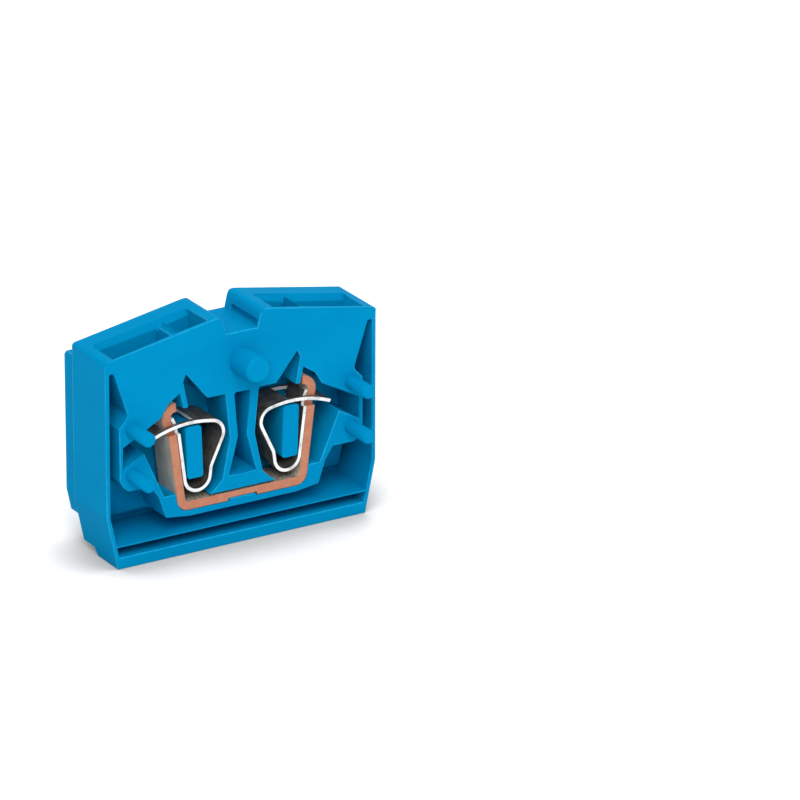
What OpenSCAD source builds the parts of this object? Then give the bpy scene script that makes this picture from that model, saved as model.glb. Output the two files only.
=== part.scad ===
// Spring clamp terminal block with two conductor entries, one module of a row.
// X runs along the wires, the open side faces -Y, and Z is up from the bottom face.

/* [Body] */
// Length of the body along the wires
body_length = 27.5; // [27:0.1:32]
// Thickness of the body, which is the pitch of a row of blocks
pitch = 6; // [5.6:0.1:8]
// Length of the flat bottom
foot_length = 25.4; // [24.5:0.1:27]
// Height at which the tapered lower ends stop
taper_height = 5; // [3.6:0.1:6]
// Height of the roof at its outer ends
eave_height = 19.65; // [19.4:0.05:22]
// Rounding of the roof's outer corners
eave_round = 0.4; // [0.2:0.05:0.6]
// Height of the roof beside the marker channel
ridge_height = 21.8; // [21.4:0.05:24]
// Depth of the foot that the block stands on, from the open side
foot_depth = 3.7; // [3:0.1:5]
// Rise of the underside behind the foot
heel_rise = 0.76; // [0.3:0.02:0.9]

/* [Walls] */
// Thickness of the two end walls
side_wall = 0.4; // [0.3:0.05:0.5]
// Thickness of the back behind the rim's channel
back_wall = 0.5; // [0.4:0.05:0.8]
// Thickness of the plate in front of the wire funnels
face_wall = 0.35; // [0.3:0.05:0.5]
// Thickness of the rib under the current bar
rib = 0.55; // [0.4:0.05:0.7]
// Gap between the housing and the metal that it holds
seat_gap = 0.05; // [0.03:0.01:0.1]

/* [Marker channel] */
// Depth of the channel's floor below the top of the roof
marker_depth = 1.75; // [1.3:0.05:2]
// Width of the channel at its floor
marker_width = 3.2; // [2.5:0.1:3.6]
// Width of the channel at the roof
marker_mouth = 4; // [3.8:0.1:4.6]
// Height of the grooves that hold a marker strip
marker_groove = 0.6; // [0.3:0.05:0.8]
// Depth of those grooves into the channel's walls
marker_undercut = 0.45; // [0.2:0.05:0.55]
// Rounding of the roof's corners beside the channel
ridge_round = 0.7; // [0.3:0.05:0.9]

/* [Wire funnels and tool slots] */
// Width of the roof outside a funnel's mouth
funnel_land = 0.95; // [0.7:0.05:1.05]
// Depth of the funnels' far wall from the open side
funnel_depth = 3.7; // [3.5:0.05:3.75]
// Flare of the mouths' far edge at the roof
mouth_flare = 0.4; // [0.2:0.05:0.6]
// Distance from the middle to the inner end of a tool slot
slot_start = 3.3; // [2.9:0.05:3.6]
// Length of a tool slot
slot_length = 2.9; // [2.4:0.05:3]
// Thickness of the partition between slot and funnel
partition = 0.4; // [0.3:0.05:0.6]
// Depth of the partition's top edge below the roof
partition_drop = 0.45; // [0.3:0.05:1]
// Thickness of the rib left where the partition meets the far wall
partition_rib = 0.25; // [0.15:0.05:0.4]

/* [Current bar] */
// Thickness of the bar
bar_thick = 0.8; // [0.7:0.02:0.9]
// Width of the bar, across the block
bar_width = 3.2; // [3:0.1:3.5]
// Distance between the bar's legs at its floor, middle to middle
bar_span = 12.32; // [12.12:0.02:12.52]
// Height of the underside of the bar's floor
bar_height = 4.2; // [4.1:0.02:4.4]
// Outward lean of the bar's legs
bar_lean = 7.25; // [6.5:0.25:8]
// Bend radius of the bar's lower corners, at the middle of its thickness
bar_corner = 0.7; // [0.6:0.02:0.9]
// Depth below the spring's crown at which a leg bends outwards
flare_drop = 0.5; // [0.4:0.02:0.6]
// Radius of that outward bend, at the middle of the bar's thickness
flare_bend = 1; // [0.8:0.05:1.2]
// Angle of that bend
flare_turn = 18; // [14:1:20]
// Straight length between that bend and the hook
flare_run = 0.35; // [0.3:0.01:0.4]
// Bend radius of the hook, at the middle of its thickness
hook_bend = 1; // [0.9:0.01:1.05]
// Angle through which the hook turns
hook_turn = 114; // [100:1:118]
// Length of the thinner stretch in the middle of the bar's floor
coin_length = 2.9; // [1.5:0.1:5]
// Depth of that stretch
coin_depth = 0.25; // [0.1:0.01:0.35]

/* [Clamp springs] */
// Thickness of the spring strip
spring_thick = 0.3; // [0.24:0.01:0.36]
// Width of the strip
spring_width = 3.6; // [3.4:0.05:3.75]
// Gap between the contact leg and the bar
contact_gap = 0.06; // [0.04:0.01:0.1]
// Width of each side of the window frame in the clamping leg
frame_side = 0.4; // [0.35:0.05:0.5]
// Bend radius at the foot of the spring, at the middle of its thickness
foot_bend = 1.28; // [1.2:0.01:1.35]
// Gap between that bend and the bar's floor
foot_clear = 0.73; // [0.5:0.01:0.9]
// Straight length of the back leg between that bend and its knee
knee_run = 0.75; // [0.65:0.01:0.85]
// Lean of the back leg below the knee
knee_lean = 7; // [5:0.5:9]
// Bend radius of the knee
knee_bend = 1; // [0.8:0.05:1.4]
// Straight length of the back leg above the knee
back_length = 2.6; // [2.45:0.02:2.75]
// Lean of the back leg above the knee
back_lean = 25; // [23:0.5:27]
// Bend radius at the top of the spring
top_bend = 1.25; // [1.15:0.01:1.35]
// Angle at which the clamping leg leaves that bend
clamp_rise = 13; // [11:0.5:15]
// Radius of the clamping leg's curve
clamp_bend = 10; // [9.6:0.1:10.4]
// Angle through which the clamping leg curves
clamp_turn = 36; // [34:0.5:37]
// Length of the contact leg's narrow end past the bar's outward bend
contact_reach = 0.5; // [0.4:0.01:0.55]
// Length of the window in the clamping leg
window_length = 3; // [2.8:0.05:3.4]
// Height of the opening above the spring's crown
clamp_room = 2; // [1.8:0.05:2.2]

/* [Stacking] */
// Radius of the middle peg
peg_radius = 1.3; // [1.1:0.05:1.4]
// Length of the middle peg
peg_length = 3; // [2:0.1:3.2]
// Height of the middle peg
peg_height = 17.3; // [17:0.1:17.6]
// Radius of the four small pegs
pin_radius = 0.65; // [0.5:0.05:0.7]
// Length of the small pegs
pin_length = 3.2; // [2.4:0.1:3.3]
// Distance of the small pegs from the body's ends
pin_inset = 2.6; // [2.4:0.05:2.7]
// Height of the lower small pegs
pin_low = 8.75; // [8.6:0.05:8.9]
// Height of the upper small pegs
pin_high = 13.05; // [12.8:0.05:13.15]
// Radial clearance of a peg in the socket of the next block
socket_gap = 0.08; // [0.05:0.01:0.12]
// Extra depth of a socket
socket_room = 0.15; // [0.05:0.05:0.25]
// Reach of the rim behind the back
rim_reach = 2.4; // [2:0.1:2.8]
// Thickness of the rim
rim_thick = 0.6; // [0.4:0.05:0.65]
// Depth of the rim's top below the outer ends of the roof
rim_drop = 1.45; // [1.3:0.05:3]
// Height of the tongue's underside
tongue_height = 1.2; // [1.1:0.02:1.3]
// Thickness of the tongue
tongue_thick = 0.75; // [0.5:0.05:0.8]
// Reach of the tongue behind the back
tongue_reach = 2.4; // [1:0.1:2.6]
// Distance of the tongue's ends from the ends of the bottom
tongue_inset = 0.9; // [0.7:0.05:1.2]
// Height of the rim's floor above the ledge
rim_lift = 0.6; // [0.2:0.05:0.65]
// Clearance of rim and tongue in the next block
stack_gap = 0.1; // [0.06:0.01:0.14]

/* [Hidden] */
$fn = 48;
skin = 0.01;

half = body_length / 2;
front = -pitch / 2;
roof_slope = atan((ridge_height - eave_height) / (half - marker_mouth / 2));
marker_floor = ridge_height - marker_depth;
rim_top = eave_height - rim_drop;

// Metal: strip edges lie just inside the open side, in front of one flat floor
metal_near = 0.05;
metal_floor = metal_near + spring_width + 0.1;
window_near = metal_near + frame_side;
window_far = metal_near + spring_width - frame_side;
neck_gap = 0.06;

// Current bar: middle of a leg at the floor, and the heights of the floor
leg_x = bar_span / 2;
bar_mid = bar_height + bar_thick / 2;
bar_top = bar_height + bar_thick;

// Spring: middles of its bends and the crown of the clamping leg
contact_off = (bar_thick + spring_thick) / 2 + contact_gap;
foot_bend_height = bar_top + foot_clear + foot_bend + spring_thick / 2;
contact_low = foot_bend_height - foot_bend * sin(bar_lean);
foot_x = contact_x(contact_low) - foot_bend * cos(bar_lean);
knee_x = foot_x - (foot_bend + knee_bend) * cos(knee_lean) - knee_run * sin(knee_lean);
knee_z = foot_bend_height - (foot_bend + knee_bend) * sin(knee_lean) + knee_run * cos(knee_lean);
top_x = knee_x + (knee_bend + top_bend) * cos(back_lean) - back_length * sin(back_lean);
top_z = knee_z + (knee_bend + top_bend) * sin(back_lean) + back_length * cos(back_lean);
crown_x = top_x + (clamp_bend - top_bend) * sin(clamp_rise);
crown_z = top_z - (clamp_bend - top_bend) * cos(clamp_rise) + clamp_bend;
neck_low = crown_z - 0.85;

// Upper end of the bar: start and middle of its outward bend, and the middle of the hook's bend
flare_lean = bar_lean + flare_turn;
flare_z = crown_z - flare_drop;
flare_x = leg_mid(flare_z) + flare_bend * cos(bar_lean);
flare_mid_z = flare_z - flare_bend * sin(bar_lean);
hook_x = flare_x + flare_run * sin(flare_lean) - (flare_bend + hook_bend) * cos(flare_lean);
hook_z = flare_mid_z + flare_run * cos(flare_lean) + (flare_bend + hook_bend) * sin(flare_lean);
hook_out = hook_bend + bar_thick / 2;

// Post between the springs: half widths at its waist and its foot
post_waist = top_x - top_bend - spring_thick / 2 - 0.5;
post_foot = foot_x - foot_bend - spring_thick / 2 - 0.5;
foot_gap = 0.2;

// Front openings, named from the bottom up
groove_low = tongue_height - stack_gap;
groove_high = tongue_height + tongue_thick + stack_gap;
ledge = groove_high + 0.2;
rim_inset = side_wall + stack_gap;
rim_low = ledge + rim_lift;
channel_width = rim_thick + 2.5 * stack_gap;
channel_inset = side_wall + channel_width;
rib_top = bar_height - seat_gap;
pin_x = half - pin_inset;
boss_x = half - channel_inset - 0.45;
clamp_top = crown_z + clamp_room;
pad_low = pin_low - 0.15;
pad_high = pin_high - 1.65;
slot_end = slot_start + slot_length;
funnel_start = slot_end + partition;
funnel_end = half - funnel_land;

// Distance from the middle to the body's end at height z, less an inset
function end_x(z, inset = 0) =
    (z < taper_height ? foot_length / 2 + (half - foot_length / 2) * z / taper_height : half) - inset;
// Height of the roof at a distance x from the middle
function roof_z(x) = eave_height + (half - x) * tan(roof_slope);
// Middle of the bar's leg and of the contact leg at height z
function leg_mid(z) = leg_x + (z - bar_mid) * tan(bar_lean);
function contact_x(z) = leg_mid(z) - contact_off / cos(bar_lean);
// Outer face of the bar's leg at height z, with a gap
function leg_out(z, gap) = leg_mid(z) + (bar_thick / 2 + gap) / cos(bar_lean);
// Points on an arc
function arc(x, z, r, from, to, n) =
    [for (i = [0 : n]) [x + r * cos(from + (to - from) * i / n), z + r * sin(from + (to - from) * i / n)]];
// Middle line of a bent strip as points with headings: each step is a straight length, a bend radius and a turn
function trace(steps, p, h, i = 0) =
    i == len(steps) ? [[p.x, p.y, h]] :
    let (
        run = steps[i][0],
        r = steps[i][1] * sign(steps[i][2]),
        turn = steps[i][2],
        q = [p.x + run * cos(h), p.y + run * sin(h)],
        n = ceil(abs(turn) / 7.5)
    )
    concat(
        run > 0 ? [[p.x, p.y, h]] : [],
        [for (k = [0 : n - 1]) let (a = h + turn * k / n)
            [q.x + r * (sin(a) - sin(h)), q.y + r * (cos(h) - cos(a)), a]],
        trace(steps, [q.x + r * (sin(h + turn) - sin(h)), q.y + r * (cos(h) - cos(h + turn))], h + turn, i + 1)
    );
// Corner between two edges, rounded from one point to another
function rounded(from, corner, to) =
    [for (t = [0 : 0.25 : 1]) (1 - t) * (1 - t) * from + 2 * t * (1 - t) * corner + t * t * to];
// Rounded corner between the roof and the wall of the marker channel
function ridge_corner() =
    let (
        corner = [marker_mouth / 2, ridge_height],
        wall = [marker_width / 2, marker_floor] - corner
    )
    rounded(
        corner + ridge_round * [cos(roof_slope), -sin(roof_slope)],
        corner,
        corner + ridge_round * wall / norm(wall)
    );
// Rounded corner between the roof and the end of the body
function eave_corner() =
    rounded(
        [half, eave_height - eave_round],
        [half, eave_height],
        [half, eave_height] + eave_round * [-cos(roof_slope), sin(roof_slope)]
    );
// A half outline and its mirror image, as one outline
function mirrored(edge) =
    concat(edge, [for (i = [len(edge) - 1 : -1 : 0]) [-edge[i].x, edge[i].y]]);

// A profile in X and Z, from one depth behind the open side to another
module slab(near, far) {
    translate([0, front + far, 0])
        rotate([90, 0, 0])
            linear_extrude(far - near)
                children();
}

// The same shape on both sides of the middle
module both() {
    children();
    mirror([1, 0, 0])
        children();
}

// Outline of the body, with the marker channel between its two roofs
module body_outline() {
    polygon(mirrored([
        [foot_length / 2, 0],
        [half, taper_height],
        each eave_corner(),
        each ridge_corner(),
        [marker_width / 2, marker_floor],
    ]));
}

// Grooves in the channel's walls, stopped by the front plate and the back
module marker_grooves() {
    translate([-marker_width / 2 - marker_undercut, front + face_wall, marker_floor])
        cube([marker_width + 2 * marker_undercut, pitch - face_wall - 2 * back_wall, marker_groove]);
}

// Wall behind the back that slides into the next block: two ends and a floor
module rim() {
    inset = rim_inset + rim_thick;
    low = rim_low + rim_thick;
    difference() {
        slab(pitch - skin, pitch + rim_reach)
            polygon(concat(
                [
                    [-half + rim_inset, rim_top],
                    [-half + rim_inset, taper_height],
                    [-end_x(rim_low, rim_inset), rim_low],
                    [end_x(rim_low, rim_inset), rim_low],
                    [half - rim_inset, taper_height],
                    [half - rim_inset, rim_top],
                ],
                [
                    [half - inset, rim_top],
                    [half - inset, taper_height],
                    [end_x(low, inset), low],
                    [-end_x(low, inset), low],
                    [-half + inset, taper_height],
                    [-half + inset, rim_top],
                ]
            ));
        // Bevel on the free corner at the top of each end
        translate([0, front + pitch + rim_reach, rim_top])
            rotate([45, 0, 0])
                cube([body_length, rim_thick, rim_thick], center = true);
    }
}

// Tongue behind the back with slanting ends, for the groove of the next block
module tongue() {
    reach = foot_length / 2 - tongue_inset;
    translate([0, front + pitch, tongue_height])
        linear_extrude(tongue_thick)
            polygon([
                [-reach, -skin],
                [reach, -skin],
                [reach - 0.5, tongue_reach],
                [-reach + 0.5, tongue_reach],
            ]);
}

// A peg on the open side, with a bevelled tip
module peg(x, z, r, length) {
    bevel = r / 5;
    translate([x, front, z])
        rotate([90, 0, 0]) {
            translate([0, 0, -skin])
                cylinder(r = r, h = length - bevel + skin);
            translate([0, 0, length - bevel])
                cylinder(r1 = r, r2 = r - bevel, h = bevel);
        }
}

// A round socket in the back, for the peg of the next block
module socket(x, z, r, length) {
    translate([x, front + pitch + skin, z])
        rotate([90, 0, 0])
            cylinder(r = r + socket_gap, h = length + socket_room + skin);
}

// Raised pad on the back that closes a wire pocket of the next block
module pocket_pad() {
    slab(pitch - skin, pitch + 0.3)
        polygon([
            [leg_out(pad_low, 0.3), pad_low],
            [leg_out(pad_high, 0.2), pad_high],
            [leg_out(pad_high - 0.5, 2.3), pad_high - 0.5],
            [leg_out(pad_low - 0.2, 1.35), pad_low - 0.2],
        ]);
}

// Wire funnel: wide at the roof, narrow where the wire meets the bar
module funnel() {
    throat = pin_x - pin_radius - socket_gap - 0.25;
    mouth = [funnel_end, roof_z(funnel_end)];
    low = [half - 1.45, rim_top + 0.2];
    slab(face_wall, funnel_depth)
        polygon([
            [funnel_start, ridge_height],
            2 * mouth - low,
            low,
            [throat, pin_high + 1.2],
            [throat - 0.1, pin_high - 0.4],
            [hook_x + hook_out + 0.1, hook_z + 0.3],
            [funnel_start, hook_z + hook_out + 0.7],
        ]);
}

// Slot for the tool that opens the spring
module tool_slot() {
    slab(face_wall, funnel_depth)
        polygon([
            [slot_start, ridge_height],
            [slot_end, ridge_height],
            [slot_end - 0.2, clamp_top + 1.8],
            [slot_end - 0.75, clamp_top - 0.5],
            [slot_start + 0.1, clamp_top - 0.2],
        ]);
}

// Bevel that flares the far edge of a funnel and its slot at the roof
module mouth_bevel() {
    middle = (slot_start + funnel_end) / 2;
    length = (funnel_end - slot_start - 0.3) / cos(roof_slope);
    translate([middle, front + funnel_depth, roof_z(middle)])
        rotate([0, roof_slope, 0])
            rotate([90, 0, 90])
                linear_extrude(length, center = true)
                    polygon([
                        [-mouth_flare, -2 * mouth_flare],
                        [-mouth_flare / 3, -2 * mouth_flare],
                        [mouth_flare * 5 / 3, mouth_flare],
                        [-mouth_flare, mouth_flare],
                    ]);
}

// Notch that lowers the partition below the roof
module partition_notch() {
    slab(face_wall, funnel_depth - partition_rib)
        polygon([
            [slot_end - skin, roof_z(slot_end) - partition_drop],
            [funnel_start + skin, roof_z(slot_end) - partition_drop],
            [funnel_start + skin, ridge_height],
            [slot_end - skin, ridge_height],
        ]);
}

// Opening for half of the bar and one spring, with the pocket that takes the wire's end
module clamp_opening() {
    seat_z = bar_top + 0.95;
    corner_x = leg_x - bar_corner * tan(45 - bar_lean / 2);
    polygon(concat(
        [
            [-skin, rib_top + coin_depth],
            [coin_length / 2 - 0.15, rib_top + coin_depth],
            [coin_length / 2 - 0.15, rib_top],
        ],
        arc(corner_x, bar_mid + bar_corner, bar_corner + bar_thick / 2 + seat_gap, 270, 360 - bar_lean, 8),
        [
            [leg_out(seat_z, seat_gap), seat_z],
            [leg_out(seat_z, 1.2), seat_z],
            [pin_x - 1.2, pin_low + 1.75],
            [boss_x, pin_low + 0.55],
            [boss_x, pin_high - 1.6],
            [boss_x - 0.25, pin_high - 1.55],
        ],
        [
            [hook_x + hook_out + 0.35, hook_z + 0.5],
            [hook_x + 1.05, hook_z + 1.65],
            [hook_x - 0.15, hook_z + 2.45],
            [slot_end - 0.25, clamp_top - 0.5],
            [slot_end - 0.75, clamp_top - 0.5],
            [slot_end - 0.25, clamp_top + 2],
            [slot_end - 0.55, clamp_top + 2.65],
            [slot_start + 0.2, clamp_top],
            [-skin, clamp_top],
        ]
    ));
}

// Post between the springs, with its foot over the bar's floor
module middle_post() {
    polygon([
        [-skin, bar_top + foot_gap],
        [post_foot + 0.7, bar_top + foot_gap],
        [post_foot, bar_top + 0.75],
        [post_foot - 0.6, bar_top + 1.4],
        [post_waist, top_z - 0.8],
        [post_waist + 0.45, clamp_top + skin],
        [-skin, clamp_top + skin],
    ]);
}

// Hourglass hollow in the post
module post_hollow() {
    polygon([
        [-skin, bar_top + 1.5],
        [(post_foot - 0.6) * 0.68, bar_top + 1.6],
        [post_waist * 0.35, top_z - 0.75],
        [post_waist * 0.65, clamp_top - 0.2],
        [post_waist * 0.54, clamp_top - 0.05],
        [-skin, clamp_top - 0.05],
    ]);
}

// Core inside a spring, which keeps it in place
module spring_core() {
    right = contact_x(foot_bend_height) - spring_thick / 2 - 0.1;
    left = right - 1.6;
    low = foot_bend_height - 0.05;
    high = crown_z - spring_thick / 2 - 0.25;
    lean = (high - low) * tan(bar_lean / 2);
    r = 0.3;
    polygon(concat(
        arc(left + r, low + r, r, 180, 270, 6),
        arc(right - r, low + r, r, 270, 360, 6),
        arc(right + lean / 2 - r, high - r, r, 0, 90, 6),
        arc(left + lean / 2 + r, high - r, r, 90, 180, 6)
    ));
}

// Recess outside the ribs and under the bar's seat
module outer_recess() {
    high = rim_top + 0.4;
    wall_x = half - side_wall;
    seat_z = bar_top + 1;
    polygon(concat(
        [
            [-skin, ledge],
            [end_x(ledge, side_wall), ledge],
            [wall_x, taper_height],
        ],
        arc(wall_x - 0.25, high - 0.25, 0.25, 0, 90, 4),
        [
            [half - 0.9, high - 0.1],
            [boss_x - 0.5, pin_high + 1.4],
            [boss_x - 0.4, pin_high + 1],
            [boss_x + 0.35, pin_high + 0.2],
            [boss_x + 0.35, pin_low - 0.45],
            [pin_x + 0.85, pin_low - 1.15],
            [pin_x + 0.35, pin_low - 1.55],
            [pin_x - 1.85, pin_low - 1.55],
            [leg_out(seat_z, 1.75), seat_z],
            [leg_out(bar_height, 1.4), bar_height],
            [leg_out(bar_height, 1.25), bar_height - 0.3],
            [leg_x - 0.7, rib_top - rib],
            [-skin, rib_top - rib],
        ]
    ));
}

// Deep channel along the ends and above the ledge, for the rim of the next block
module rim_channel() {
    high = rim_top + 2 * stack_gap;
    floor_low = rim_low + rim_thick + stack_gap;
    polygon([
        [-skin, ledge],
        [end_x(ledge, side_wall), ledge],
        [half - side_wall, taper_height],
        [half - side_wall, high],
        [half - channel_inset, high],
        [half - channel_inset, taper_height],
        [end_x(floor_low, channel_inset), floor_low],
        [-skin, floor_low],
    ]);
}

// Underside behind the foot, with a sloping step
module heel() {
    translate([0, front, 0])
        rotate([90, 0, 90])
            linear_extrude(2 * body_length, center = true)
                polygon([
                    [foot_depth, -1],
                    [foot_depth, 0],
                    [foot_depth + heel_rise / 2, heel_rise],
                    [pitch + 1, heel_rise],
                    [pitch + 1, -1],
                ]);
}

// Groove for the tongue of the next block
module tongue_groove() {
    slab(-skin, tongue_reach + socket_room)
        polygon(mirrored([
            [end_x(groove_low, side_wall), groove_low],
            [end_x(groove_high, side_wall), groove_high],
        ]));
}

module housing() {
    color([0, 0.56, 0.8])
        difference() {
            union() {
                slab(0, pitch)
                    body_outline();
                peg(0, peg_height, peg_radius, peg_length);
                both() {
                    peg(pin_x, pin_low, pin_radius, pin_length);
                    peg(pin_x, pin_high, pin_radius, pin_length);
                    pocket_pad();
                }
                rim();
                tongue();
            }
            marker_grooves();
            heel();
            tongue_groove();
            both() {
                funnel();
                tool_slot();
                partition_notch();
                mouth_bevel();
                slab(-skin, metal_floor)
                    difference() {
                        clamp_opening();
                        middle_post();
                        spring_core();
                    }
                slab(-skin, metal_floor)
                    post_hollow();
                slab(-skin, metal_floor)
                    outer_recess();
                slab(metal_floor - 1, pitch - back_wall)
                    rim_channel();
                socket(pin_x, pin_low, pin_radius, pin_length);
                socket(pin_x, pin_high, pin_radius, pin_length);
            }
            socket(0, peg_height, peg_radius, peg_length);
        }
}

// A strip bent in X and Z, from a point and heading along its steps
module strip(start, heading, steps, thick) {
    path = trace(steps, start, heading);
    polygon(concat(
        [for (p = path) [p.x - sin(p.z) * thick / 2, p.y + cos(p.z) * thick / 2]],
        [for (i = [len(path) - 1 : -1 : 0])
            [path[i].x + sin(path[i].z) * thick / 2, path[i].y - cos(path[i].z) * thick / 2]]
    ));
}

// Half of the bar: floor, corner, leaning leg, outward bend and hook
module half_bar() {
    corner_run = bar_corner * tan(45 - bar_lean / 2);
    leg_run = (flare_z - bar_mid) / cos(bar_lean) - corner_run;
    overlap = 1;
    slab(metal_near, metal_near + bar_width)
        strip(
            [-overlap, bar_mid], 0,
            [
                [overlap + leg_x - corner_run, bar_corner, 90 - bar_lean],
                [leg_run, flare_bend, -flare_turn],
                [flare_run, hook_bend, hook_turn],
            ],
            bar_thick
        );
}

module current_bar() {
    color([0.77, 0.5, 0.38])
        difference() {
            both()
                half_bar();
            // Narrow neck that passes through the spring's window
            translate([-half, front - skin, neck_low])
                cube([body_length, window_near + neck_gap + skin, body_length]);
            translate([-half, front + window_far - neck_gap, neck_low])
                cube([body_length, pitch, body_length]);
            // Thinner stretch under the middle post
            translate([-coin_length / 2, front - skin, bar_height - skin])
                cube([coin_length, pitch, coin_depth + skin]);
        }
}

// Spring strip down the contact leg and round the loop to the clamping tip
module spring_loop() {
    strip(
        [contact_x(neck_low), neck_low], 270 - bar_lean,
        [
            [(neck_low - contact_low) / cos(bar_lean), foot_bend, knee_lean + bar_lean - 180],
            [knee_run, knee_bend, back_lean - knee_lean],
            [back_length, top_bend, clamp_rise - 90 - back_lean],
            [0, clamp_bend, -clamp_turn],
        ],
        spring_thick
    );
}

// Narrow end of the contact leg, which passes through the window to the hook
module contact_tab() {
    root = neck_low - 0.3;
    bend_z = flare_z + contact_off * sin(bar_lean);
    strip(
        [contact_x(root), root], 90 - bar_lean,
        [
            [(bend_z - root) / cos(bar_lean), flare_bend + contact_off, -flare_turn],
            [contact_reach, 0, 0],
        ],
        spring_thick - 0.04
    );
}

// Window in the clamping leg, closed by the tip outside the bar
module spring_window() {
    edge = leg_out(crown_z, 0.2);
    low = neck_low + 0.2;
    translate([edge - window_length, front + window_near, low])
        cube([window_length, window_far - window_near, crown_z + spring_thick - low]);
}

module clamp_spring() {
    color([0.82, 0.82, 0.8])
        union() {
            difference() {
                slab(metal_near, metal_near + spring_width)
                    spring_loop();
                spring_window();
                // Round inside of the bend at the foot
                translate([foot_x, 0, foot_bend_height])
                    rotate([90, 0, 0])
                        cylinder(r = foot_bend - spring_thick / 2 + skin, h = 2 * pitch, center = true);
            }
            slab(window_near + neck_gap, window_far - neck_gap)
                contact_tab();
        }
}

module left_clamp_spring() {
    mirror([1, 0, 0])
        clamp_spring();
}

module right_clamp_spring() {
    clamp_spring();
}

housing();
current_bar();
left_clamp_spring();
right_clamp_spring();
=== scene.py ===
import math

import bmesh
import bpy
import numpy as np
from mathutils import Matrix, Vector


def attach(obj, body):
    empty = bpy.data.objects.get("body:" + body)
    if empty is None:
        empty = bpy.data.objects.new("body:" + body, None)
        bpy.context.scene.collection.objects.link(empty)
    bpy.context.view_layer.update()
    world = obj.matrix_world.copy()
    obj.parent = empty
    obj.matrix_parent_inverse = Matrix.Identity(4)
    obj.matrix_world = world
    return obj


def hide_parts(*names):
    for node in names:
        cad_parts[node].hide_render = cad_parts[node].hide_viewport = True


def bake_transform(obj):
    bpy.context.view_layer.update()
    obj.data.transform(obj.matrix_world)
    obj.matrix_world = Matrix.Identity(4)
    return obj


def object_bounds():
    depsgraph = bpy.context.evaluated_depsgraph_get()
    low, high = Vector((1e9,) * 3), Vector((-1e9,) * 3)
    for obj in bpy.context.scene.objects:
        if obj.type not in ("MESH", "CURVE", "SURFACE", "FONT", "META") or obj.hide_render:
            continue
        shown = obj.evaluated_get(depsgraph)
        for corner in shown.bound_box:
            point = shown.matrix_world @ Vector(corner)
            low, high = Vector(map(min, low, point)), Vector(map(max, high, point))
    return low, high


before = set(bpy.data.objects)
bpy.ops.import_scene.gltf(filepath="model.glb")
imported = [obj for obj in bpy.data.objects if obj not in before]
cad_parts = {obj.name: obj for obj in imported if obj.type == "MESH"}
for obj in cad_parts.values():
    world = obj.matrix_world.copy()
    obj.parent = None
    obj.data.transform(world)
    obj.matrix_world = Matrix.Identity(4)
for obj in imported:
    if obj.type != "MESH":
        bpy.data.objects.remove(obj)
cad_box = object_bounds()

# Housing: the open-sided body, moulded in one shot from blue polyamide with its pegs, rim and tongue on it.
# The mould was spark-eroded, so the skin is satin with faint flow marks. Its edges have small radii, whose
# faces are painted paler as a highlight.
MM = 0.001
CLOSE = 0.01
WELD = 0.002
FLAT_ANGLE = 1
ON_EDGE = 0.001
EDGE_RADIUS = 0.09
CORNER_RADIUS = 0.3
ROOM_ALONG = 3
ROOM_BESIDE = 2.4
FOLD_ANGLE = 28
LIP_LOW = 18.7
LIP_NEAR = 0.4
LIP_FAR = 1.2
BLUE = (0.0, 0.206, 0.42, 1)
BLUE_PALE = (0.0, 0.213, 0.43, 1)
BLUE_DEEP = (0.0, 0.198, 0.408, 1)
# The next two blues are a painted highlight on the housing's rounded edges, paler than the body.
EDGE_HIGHLIGHT_BLUE = (0.0, 0.235, 0.46, 1)
EDGE_HIGHLIGHT_PALER = (0.008, 0.268, 0.505, 1)


class Signal:
    """A value in a material's node tree: arithmetic on it adds Math nodes, and node() adds any other node."""

    def __init__(self, tree, socket):
        self.tree = tree
        self.socket = socket

    def node(self, kind, settings, inputs, out=0):
        """A new node of this type: its settings first, then a value or a link for each socket."""
        made = self.tree.nodes.new(kind)
        for name, value in settings.items():
            setattr(made, name, value)
        for key, value in inputs.items():
            if isinstance(value, Signal):
                self.tree.links.new(value.socket, made.inputs[key])
            else:
                made.inputs[key].default_value = value
        return Signal(self.tree, made.outputs[out])

    def maths(self, operation, a, b):
        """A Math node of this operation on two values."""
        return self.node("ShaderNodeMath", {"operation": operation}, {0: a, 1: b})

    def __add__(self, other):
        return self.maths("ADD", self, other)

    def __sub__(self, other):
        return self.maths("SUBTRACT", self, other)

    def __rsub__(self, other):
        return self.maths("SUBTRACT", other, self)

    def __mul__(self, other):
        return self.maths("MULTIPLY", self, other)

    def __abs__(self):
        return self.maths("ABSOLUTE", self, 0)

    __radd__ = __add__
    __rmul__ = __mul__

    def between(self, low, high, start=0.0, end=1.0):
        """This value, eased from start at low to end at high and held beyond both."""
        return self.node(
            "ShaderNodeMapRange", {"interpolation_type": "SMOOTHSTEP"},
            {"Value": self, "From Min": low, "From Max": high, "To Min": start, "To Max": end},
        )

    def tint(self, colour, other):
        """One colour where this value is 0 and the other where it is 1."""
        return self.node("ShaderNodeMix", {"data_type": "RGBA"}, {0: self, 6: colour, 7: other}, 2)

    def speckle(self, scale, detail=2.0, rough=0.5):
        """Noise from 0 to 1 on these coordinates, with this many grains to a millimetre."""
        return self.node(
            "ShaderNodeTexNoise", {},
            {"Vector": self, "Scale": scale, "Detail": detail, "Roughness": rough},
        )

    def bumped(self, share, height):
        """The surface's normal with this value raised on it, at this share of a height in millimetres."""
        return self.node("ShaderNodeBump", {}, {"Height": self, "Strength": share, "Distance": height * MM})

    def stretched(self, x, y, z):
        """These coordinates with each axis multiplied."""
        return self.node("ShaderNodeVectorMath", {"operation": "MULTIPLY"}, {0: self, 1: (x, y, z)})


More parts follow.
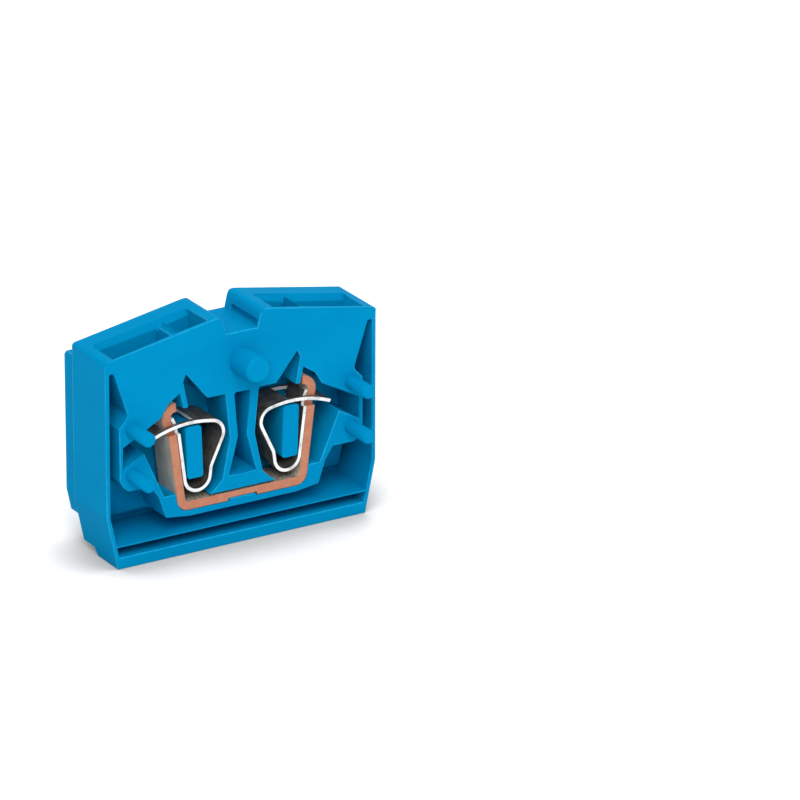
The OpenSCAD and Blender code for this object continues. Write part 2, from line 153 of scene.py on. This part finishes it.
def new_material(name, source="Object"):
    """A new material, its Principled shader, and coordinates in mm: the piece's own or its UV map."""
    material = bpy.data.materials.new(name)
    material.use_nodes = True
    tree = material.node_tree
    shader = tree.nodes["Principled BSDF"]
    place = Signal(tree, tree.nodes.new("ShaderNodeTexCoord").outputs[source])
    if source == "Object":
        place = place.stretched(1 / MM, 1 / MM, 1 / MM)
    return material, shader, place


def feed(shader, **inputs):
    """Sets the shader's sockets, by name with _ for a space, to values or signals."""
    for name, value in inputs.items():
        socket = shader.inputs[name.replace("_", " ")]
        if isinstance(value, Signal):
            value.tree.links.new(value.socket, socket)
        else:
            socket.default_value = value


polyamide, shader, place = new_material("blue_polyamide")
flow = place.stretched(0.5, 0.5, 1.1).speckle(0.35, 3)
grain = place.speckle(7, 2)
skin = place.speckle(26, 2, 0.6)
colour = flow.between(0.3, 0.7).tint(BLUE_DEEP, BLUE_PALE)
feed(
    shader,
    Base_Color=grain.between(0.35, 0.65, 0.0, 0.35).tint(colour, BLUE),
    Roughness=0.4 + 0.06 * flow + 0.08 * skin,
    Specular_IOR_Level=0.004,
    Normal=(skin * 0.4 + grain * 0.6).bumped(0.7, 0.01),
)

# Faces of the rounded edges: a paler blue as a painted highlight, varied at random.
edge_highlight_skin, shader, place = new_material("polyamide_edge")
edge_speckle = place.speckle(2.5, 3)
feed(
    shader,
    Base_Color=edge_speckle.between(0.35, 0.7).tint(EDGE_HIGHLIGHT_BLUE, EDGE_HIGHLIGHT_PALER),
    Roughness=0.3 + 0.15 * edge_speckle,
    Specular_IOR_Level=0.05,
)

merged = bmesh.new()
merged.from_mesh(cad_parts["housing"].data)
bmesh.ops.remove_doubles(merged, verts=merged.verts, dist=WELD * MM)
bmesh.ops.dissolve_limit(
    merged, angle_limit=math.radians(FLAT_ANGLE), verts=merged.verts, edges=merged.edges,
)


def is_lip(edge):
    """Whether this edge runs along the flared far side of a funnel's mouth: both its ends lie in the flare's
    band of depth and above its lowest height."""
    a, b = (v.co / MM for v in edge.verts)
    return min(a.y, b.y) > LIP_NEAR and max(a.y, b.y) < LIP_FAR and min(a.z, b.z) > LIP_LOW


def mould_radius(edge):
    """Radius in mm of an outward edge, or 0 where it has no room. The room is the least of the edge's length
    and of its two faces' depth beside it, each divided by a number of radii. The block's end corners and
    the funnels' lips are rounder than the rest."""
    if len(edge.link_faces) != 2 or edge.calc_face_angle_signed() < math.radians(FOLD_ANGLE):
        return 0.0
    a, b = (v.co for v in edge.verts)
    along = (b - a).normalized()
    room = edge.calc_length() / ROOM_ALONG
    for face in edge.link_faces:
        for spot in (v.co - a for v in face.verts):
            depth = spot.cross(along).length
            if 0 < spot.dot(along) < (b - a).length and depth > ON_EDGE * MM:
                room = min(room, depth / ROOM_BESIDE)
    wide = is_lip(edge) or min(abs(a.x), abs(b.x)) > cad_box[1][0] - CLOSE * MM
    for radius in (CORNER_RADIUS, EDGE_RADIUS) if wide else (EDGE_RADIUS,):
        if room > radius * MM:
            return radius
    return 0.0


# Edges weighted in the second layer are rounded and take the edge material, a painted highlight.
worn_edge = merged.edges.layers.float.new("worn_edge")
funnel_lip = merged.edges.layers.float.new("funnel_lip")
for edge in merged.edges:
    edge[funnel_lip if is_lip(edge) else worn_edge] = mould_radius(edge) / CORNER_RADIUS
mesh = bpy.data.meshes.new("moulded_housing")
merged.to_mesh(mesh)
merged.free()
mesh.materials.clear()
mesh.materials.append(polyamide)
mesh.materials.append(edge_highlight_skin)
mesh.shade_smooth()
mesh.set_sharp_from_angle(angle=math.radians(FOLD_ANGLE))
housing = bpy.data.objects.new("moulded_housing", mesh)
bpy.context.scene.collection.objects.link(housing)
for rounding, skin_index in (("funnel_lip", 0), ("worn_edge", 1)):
    bevel = housing.modifiers.new(rounding, "BEVEL")
    bevel.limit_method = "WEIGHT"
    bevel.edge_weight = rounding
    bevel.width = CORNER_RADIUS * MM
    bevel.segments = 3
    bevel.material = skin_index
    bevel.use_clamp_overlap = False
flat = housing.modifiers.new("flat_faces", "WEIGHTED_NORMAL")
flat.mode = "FACE_AREA"
flat.weight = 100
flat.keep_sharp = True
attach(housing, "block")
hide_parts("housing")

# Current bar: a copper strip, tin plated on its rolled faces, bent into a U with a narrow hook on each leg.
# Blanking leaves bare copper on its edges. Its middle is coined thinner from below, it is pressed into its
# seat, and its floor is painted darker as shade.
FRONT = -3.0
NEAR = 0.05
BAR_THICK = 0.8
BAR_WIDTH = 3.2
BAR_LEG = 6.16
BAR_MIDDLE = 4.6
BAR_LEAN = 7.25
BAR_CORNER = 0.7
FLARE_HEIGHT = 11.908
FLARE_BEND = 1.0
FLARE_TURN = 18.0
FLARE_RUN = 0.35
HOOK_BEND = 1.0
HOOK_TURN = 114.0
COIN_HALF = 1.45
COIN_EDGE = 0.04
COIN_DEPTH = 0.25
NECK_NEAR = 0.51
NECK_FAR = 3.19
NECK_LOW = 11.558
BURR = 0.05
BURR_FOLD = 40
STRIP_FOLD = 30
STRAIGHT_STEP = 0.4
BEND_STEP = 0.09
# Painted shade on the bar's floor: a mottled dark tin that fades out between these running lengths in mm.
FLOOR_SHADE_FADE = (5.3, 6.6)
TIN = (0.52, 0.46, 0.37, 1)
TIN_DULL = (0.42, 0.37, 0.295, 1)
TIN_PAINTED_SHADE = (0.07, 0.066, 0.058, 1)
COPPER = (0.46, 0.185, 0.105, 1)
COPPER_RED = (0.41, 0.15, 0.085, 1)
COPPER_PALE = (0.53, 0.24, 0.15, 1)


def bent_line(start, heading, steps, chord=0.16):
    """Middle line of a bent strip. Each step is a straight length, then a bend radius and a turn in degrees:
    a point runs along its heading on the straight, and round a centre one radius to the side in the bend.
    Gives x, z, heading in radians and running length as rows, in mm."""
    x, z, h, s = start[0], start[1], math.radians(heading), 0.0
    rows = [np.array([[x], [z], [h], [s]])]
    for run, radius, turn in steps:
        if run:
            t = np.linspace(0, run, max(2, int(run / STRAIGHT_STEP) + 1))[1:]
            rows.append(np.array([x + t * np.cos(h), z + t * np.sin(h), h + 0 * t, s + t]))
            x, z, s = rows[-1][0, -1], rows[-1][1, -1], s + run
        if turn:
            turn, r = math.radians(turn), radius * np.sign(turn)
            parts = max(3, int(abs(turn) * radius / chord), int(abs(turn) / BEND_STEP))
            t = np.linspace(0, turn, parts + 1)[1:]
            rows.append(np.array([
                x + r * (np.sin(h + t) - np.sin(h)),
                z + r * (np.cos(h) - np.cos(h + t)),
                h + t,
                s + abs(r * t),
            ]))
            x, z, h, s = rows[-1][:, -1]
    return np.concatenate(rows, axis=1)


def strip_mesh(name, line, across, present, upper, lower):
    """A stamped strip as one closed mesh. Its grid points stand off the middle line along the normal by upper
    and lower, at each place across the strip. Cells that are not present are cut out, and a wall closes each
    cut and end. Rolled faces take the first material and walls the second. UV is running length and place
    across, in mm."""
    x, z, h, s = line
    count, rows = len(x), len(across)
    off = np.stack([np.broadcast_to(upper, count), np.broadcast_to(lower, count)])[..., None]
    side = np.broadcast_to(across, (2, count, rows))
    px = x[:, None] - np.sin(h)[:, None] * off + 0 * side
    pz = z[:, None] + np.cos(h)[:, None] * off + 0 * side
    points = np.stack([px, FRONT + side, pz], axis=-1).reshape(-1, 3) * MM
    unrolled = np.stack([np.broadcast_to(s[:, None], (2, count, rows)), side], axis=-1).reshape(-1, 2)
    top, base = np.arange(2 * count * rows).reshape(2, count, rows)
    quads = [
        np.stack([g[:-1, :-1], g[1:, :-1], g[1:, 1:], g[:-1, 1:]], axis=-1)[present] for g in (top, base)
    ]
    quads[1] = quads[1][:, ::-1]
    held = np.pad(present, 1)
    nearer, further = held[1:-1, :-1], held[1:-1, 1:]
    earlier, later = held[:-1, 1:-1], held[1:, 1:-1]
    walls = [
        np.stack(corners, axis=-1)[cut]
        for corners, cut in (
            ((top[1:], top[:-1], base[:-1], base[1:]), further & ~nearer),
            ((top[:-1], top[1:], base[1:], base[:-1]), nearer & ~further),
            ((top[:, :-1], top[:, 1:], base[:, 1:], base[:, :-1]), later & ~earlier),
            ((top[:, 1:], top[:, :-1], base[:, :-1], base[:, 1:]), earlier & ~later),
        )
    ]
    used, faces = np.unique(np.concatenate(quads + walls), return_inverse=True)
    faces = faces.reshape(-1, 4)
    mesh = bpy.data.meshes.new(name)
    mesh.from_pydata(points[used], [], faces)
    rolled = len(quads[0]) + len(quads[1])
    mesh.polygons.foreach_set("material_index", (np.arange(len(faces)) >= rolled).astype(np.int32))
    uv = unrolled[used][faces.ravel()].astype(np.float32)
    mesh.uv_layers.new(name="strip").data.foreach_set("uv", uv.ravel())
    mesh.shade_smooth()
    mesh.set_sharp_from_angle(angle=math.radians(STRIP_FOLD))
    made = bpy.data.objects.new(name, mesh)
    bpy.context.scene.collection.objects.link(made)
    mesh.update()
    return made


tin, shader, run = new_material("rolled_tin_plate", "UV")
drawn = run.stretched(0.35, 7, 1).speckle(1.0, 3)
cloud = run.speckle(0.9, 4, 0.6)
stain = (0.6 * cloud + 0.4 * drawn).between(0.38, 0.62)
# Painted shade: the floor of the bar, between the legs, is coloured a mottled dark tin.
on_floor = 1 - abs(run.node("ShaderNodeSeparateXYZ", {}, {0: run}, 0)).between(*FLOOR_SHADE_FADE)
floor_shade = on_floor * (0.2 + 0.65 * run.speckle(4.5, 2, 0.6).between(0.4, 0.6))
feed(
    shader,
    Base_Color=floor_shade.tint(stain.tint(TIN_DULL, TIN), TIN_PAINTED_SHADE),
    Metallic=0.1,
    Roughness=0.38 + 0.2 * cloud + 0.12 * drawn,
    Normal=drawn.bumped(0.25, 0.02),
)

copper, shader, place = new_material("sheared_copper")
patch = place.speckle(1.1, 3, 0.6)
tear = place.stretched(1, 0.35, 1).speckle(9, 2)
colour = patch.between(0.35, 0.65).tint(COPPER_RED, COPPER)
feed(
    shader,
    Base_Color=tear.between(0.45, 0.75, 0.0, 0.6).tint(colour, COPPER_PALE),
    Metallic=0.3,
    Roughness=0.45 + 0.15 * tear,
    Specular_IOR_Level=0.3,
    Normal=tear.bumped(0.3, 0.015),
)

lean = math.radians(BAR_LEAN)
corner_run = BAR_CORNER * math.tan(math.radians(45 - BAR_LEAN / 2))
leg_run = (NECK_LOW - BAR_MIDDLE) / math.cos(lean) - corner_run
neck_run = (FLARE_HEIGHT - NECK_LOW) / math.cos(lean)
right = bent_line((0, BAR_MIDDLE), 0, [
    (COIN_HALF, 0, 0),
    (COIN_EDGE, 0, 0),
    (BAR_LEG - corner_run - COIN_HALF - COIN_EDGE, BAR_CORNER, 90 - BAR_LEAN),
    (leg_run, 0, 0),
    (neck_run, FLARE_BEND, -FLARE_TURN),
    (FLARE_RUN, HOOK_BEND, HOOK_TURN),
])
neck_from = right[3, np.argmin(abs(right[1] - NECK_LOW))] - CLOSE
left = right[:, :0:-1] * np.array([[-1], [1], [-1], [-1]])
line = np.concatenate([left, right], axis=1)
across = np.array([NEAR, NECK_NEAR, NECK_FAR, NEAR + BAR_WIDTH])
middle = abs(line[3, 1:] + line[3, :-1]) / 2
present = np.ones((len(middle), len(across) - 1), bool)
present[middle > neck_from, 0] = False
present[middle > neck_from, 2] = False
lower = -BAR_THICK / 2 + COIN_DEPTH * (abs(line[3]) < COIN_HALF + CLOSE)
bar = strip_mesh("bent_current_bar", line, across, present, BAR_THICK / 2, lower)
bar.data.materials.append(tin)
bar.data.materials.append(copper)
burr = bar.modifiers.new("blanked_edge", "BEVEL")
burr.limit_method = "ANGLE"
burr.angle_limit = math.radians(BURR_FOLD)
burr.width = BURR * MM
burr.segments = 2
burr.material = 1
burr.harden_normals = True
seams = bar.modifiers.new("closed_seams", "WELD")
seams.merge_threshold = WELD * MM
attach(bar, "block")
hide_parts("current_bar")

# Clamp springs: two loops of stainless strip, blanked and bent, whose contact legs lie on the bar. The bar's
# hook and the contact leg's narrow end stand through a window in the clamping leg, and the window's far edge
# presses a wire on the bar.
SPRING_THICK = 0.3
SPRING_WIDTH = 3.6
WINDOW_NEAR = 0.45
WINDOW_FAR = 3.25
WINDOW_LENGTH = 3.0
WINDOW_ROOM = 0.2
CONTACT_GAP = 0.06
CONTACT_REACH = 0.5
FOOT_Z = 7.16
FOOT_BEND = 1.28
KNEE_RUN = 0.75
KNEE_BEND = 1.0
KNEE_LEAN = 7.0
BACK_RUN = 2.6
BACK_LEAN = 25.0
TOP_BEND = 1.25
CLAMP_LEAN = 13.0
CLAMP_BEND = 10.0
CLAMP_TURN = 36.0
CROWN_Z = 12.4081
LOOP_CHORD = 0.1
STEEL = (0.2, 0.18, 0.15, 1)
STEEL_DARK = (0.035, 0.031, 0.025, 1)
# The sheared edges' two greys are a painted highlight: near-white, dimmer in random bands.
SHEAR_HIGHLIGHT = (0.74, 0.75, 0.75, 1)
SHEAR_HIGHLIGHT_DIM = (0.42, 0.43, 0.43, 1)

steel, shader, run = new_material("rolled_spring_steel", "UV")
rolled = run.stretched(0.3, 9, 1).speckle(1.0, 3)
bloom = run.speckle(1.3, 4, 0.6)
feed(
    shader,
    Base_Color=(0.6 * rolled + 0.4 * bloom).between(0.36, 0.68).tint(STEEL_DARK, STEEL),
    Metallic=0.5,
    Roughness=0.3 + 0.16 * rolled + 0.1 * bloom,
    Normal=rolled.bumped(0.2, 0.01),
)

# Sheared spring edges, coloured near-white as a painted highlight.
spring_edge_highlight, shader, place = new_material("sheared_spring_edge")
score = place.stretched(1, 0.3, 1).speckle(12, 2)
band = place.speckle(0.7, 3, 0.6)
feed(
    shader,
    Base_Color=(0.3 * score + 0.7 * band).between(0.46, 0.68).tint(SHEAR_HIGHLIGHT, SHEAR_HIGHLIGHT_DIM),
    Metallic=0.2,
    Roughness=0.4 + 0.1 * score,
    Normal=score.bumped(0.25, 0.01),
)

flared = math.radians(BAR_LEAN + FLARE_TURN)
contact_off = (BAR_THICK + SPRING_THICK) / 2 + CONTACT_GAP
tab_bend = FLARE_BEND + contact_off
bend_low = FLARE_HEIGHT + contact_off * math.sin(lean)
contact_low = FOOT_Z - FOOT_BEND * math.sin(lean)
bend_x = BAR_LEG + (FLARE_HEIGHT - BAR_MIDDLE) * math.tan(lean) + FLARE_BEND * math.cos(lean)
bend_z = FLARE_HEIGHT - FLARE_BEND * math.sin(lean)
contact_end = (
    bend_x - tab_bend * math.cos(flared) + CONTACT_REACH * math.sin(flared),
    bend_z + tab_bend * math.sin(flared) + CONTACT_REACH * math.cos(flared),
)
loop = bent_line(contact_end, 270 - BAR_LEAN - FLARE_TURN, [
    (CONTACT_REACH, tab_bend, FLARE_TURN),
    ((bend_low - NECK_LOW) / math.cos(lean), 0, 0),
    ((NECK_LOW - contact_low) / math.cos(lean), FOOT_BEND, BAR_LEAN - 90),
    (0, FOOT_BEND, KNEE_LEAN - 90),
    (KNEE_RUN, KNEE_BEND, BACK_LEAN - KNEE_LEAN),
    (BACK_RUN, TOP_BEND, CLAMP_LEAN - 90 - BACK_LEAN),
    (0, CLAMP_BEND, -CLAMP_TURN),
], LOOP_CHORD)
bar_x = BAR_LEG + (CROWN_Z - BAR_MIDDLE) * math.tan(lean)
window_end = bar_x + (BAR_THICK / 2 + WINDOW_ROOM) / math.cos(lean)
seam = int(np.argmin(abs(loop[2] - math.pi)))
across = np.array([NEAR, WINDOW_NEAR, NECK_NEAR, NECK_FAR, WINDOW_FAR, NEAR + SPRING_WIDTH])
mid_x, mid_z, mid_h = (loop[:3, 1:] + loop[:3, :-1]) / 2
tab = (mid_z > NECK_LOW) & (mid_h > math.pi)
clamping = mid_h < math.radians(CLAMP_LEAN + 1)
window = clamping & (mid_x > window_end - WINDOW_LENGTH) & (mid_x < window_end)
present = np.ones((len(mid_x), len(across) - 1), bool)
beside_neck = np.array([True, True, False, True, True])
between_rails = np.array([False, True, True, True, False])
present[tab[:, None] & beside_neck] = False
present[window[:, None] & between_rails] = False
for name, mirror in (("left", -1), ("right", 1)):
    line = loop.copy()
    if mirror < 0:
        line[0], line[2] = -line[0], math.pi - line[2]
    for part, cut, held in (
        ("contact_leg", slice(0, seam + 1), slice(0, seam)),
        ("clamping_loop", slice(seam, None), slice(seam, None)),
    ):
        half = SPRING_THICK / 2
        piece = strip_mesh(f"{name}_{part}", line[:, cut], across, present[held], half, -half)
        piece.data.materials.append(steel)
        piece.data.materials.append(spring_edge_highlight)
        if part == "contact_leg":
            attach(piece, "block")
        else:
            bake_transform(piece)
        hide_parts(f"{name}_clamp_spring")

# Table: a pale matt paper sheet under the block that fades to white; its soft foot shadow is partly painted.
# It reaches about fifty block lengths each way, so that its edge never shows.
TABLE_HALF = 1.5
TABLE_LINES = 5
SHADOW_REACH = 8.5
PAPER = (0.85, 0.85, 0.85, 1)
PAPER_SHADED = (0.455, 0.435, 0.412, 1)
PAPER_GLOW = (0.1, 0.1, 0.1, 1)
NO_GLOW = (0, 0, 0, 1)


def white_rays(tree):
    """1 on rays from the eye, in gloss and through clear pieces, which see a white background, or else 0."""
    path = tree.nodes.new("ShaderNodeLightPath")
    camera_ray, glossy_ray, clear_ray = (
        Signal(tree, path.outputs[name]) for name in ("Is Camera Ray", "Is Glossy Ray", "Is Transmission Ray")
    )
    return camera_ray + glossy_ray + clear_ray


paper, shader, place = new_material("pale_paper")
fibre = place.speckle(3, 2)
# Painted shadow: near the block the paper's colour darkens and warms, on top of the rendered shadow.
painted_foot_shadow = place.node("ShaderNodeAmbientOcclusion", {"samples": 16}, {"Distance": SHADOW_REACH * MM}, 1)
feed(
    shader,
    Base_Color=(painted_foot_shadow + 0.04 * fibre).between(0.5, 1.0).tint(PAPER_SHADED, PAPER),
    Roughness=0.9,
    Specular_IOR_Level=0.0,
    Emission_Color=white_rays(paper.node_tree).tint(NO_GLOW, PAPER_GLOW),
    Emission_Strength=1.0,
)
lines = np.linspace(-TABLE_HALF, TABLE_HALF, TABLE_LINES)
u, v = np.meshgrid(lines, lines, indexing="ij")
corner = np.arange(TABLE_LINES ** 2).reshape(TABLE_LINES, TABLE_LINES)
table = bpy.data.meshes.new("table")
table.from_pydata(
    np.stack([u, v, 0 * u], axis=-1).reshape(-1, 3), [],
    np.stack([corner[:-1, :-1], corner[1:, :-1], corner[1:, 1:], corner[:-1, 1:]], axis=-1).reshape(-1, 4),
)
table.materials.append(paper)
floor = bpy.data.objects.new("table", table)
bpy.context.scene.collection.objects.link(floor)

# Studio: a large soft lamp before and above the open side, weaker ones at the right and behind, a white
# surround and the camera. The surround shows as white to the eye and in gloss, and lights matt surfaces a
# little less.
WHITE = (1, 1, 1, 1)
AMBIENT = 0.68
AIM = (0, 0, 0.01)
LENS = 271.4
SENSOR = 36
VIEW_FROM = (-0.24662, -0.43084, 0.2105)
VIEW_TURN = (68.2535, -0.278, -31.46)

scene = bpy.context.scene
scene.view_settings.view_transform = "Standard"
world = bpy.data.worlds.new("white_surround")
scene.world = world
world.use_nodes = True
tree = world.node_tree
ambient = tree.nodes["Background"]
ambient.inputs["Color"].default_value = WHITE
ambient.inputs["Strength"].default_value = AMBIENT
plain = white_rays(tree)
white = plain.node("ShaderNodeBackground", {}, {"Color": WHITE, "Strength": 1.0})
both = plain.node("ShaderNodeMixShader", {}, {0: plain, 1: Signal(tree, ambient.outputs[0]), 2: white})
tree.links.new(both.socket, tree.nodes["World Output"].inputs["Surface"])
for name, place, size, watts, in_gloss in (
    ("front_softbox", (-0.3, -0.52, 0.58), 0.5, 5.8, True),
    ("right_softbox", (0.5, -0.3, 0.6), 0.5, 0.8, True),
    ("rear_softbox", (0.25, 0.65, 0.36), 0.7, 2.9, False),
):
    lamp = bpy.data.lights.new(name, "AREA")
    lamp.energy = watts
    lamp.size = size
    softbox = bpy.data.objects.new(name, lamp)
    softbox.location = place
    softbox.visible_glossy = in_gloss
    aim = np.array(AIM) - np.array(place)
    softbox.rotation_euler = (
        math.acos(-aim[2] / np.linalg.norm(aim)), 0, math.atan2(aim[1], aim[0]) - math.pi / 2,
    )
    scene.collection.objects.link(softbox)

camera = bpy.data.objects.new("camera", bpy.data.cameras.new("camera"))
camera.data.lens = LENS
camera.data.sensor_width = SENSOR
camera.data.clip_start = 0.05
camera.data.clip_end = 20
camera.location = VIEW_FROM
camera.rotation_euler = [math.radians(turn) for turn in VIEW_TURN]
scene.collection.objects.link(camera)
scene.camera = camera
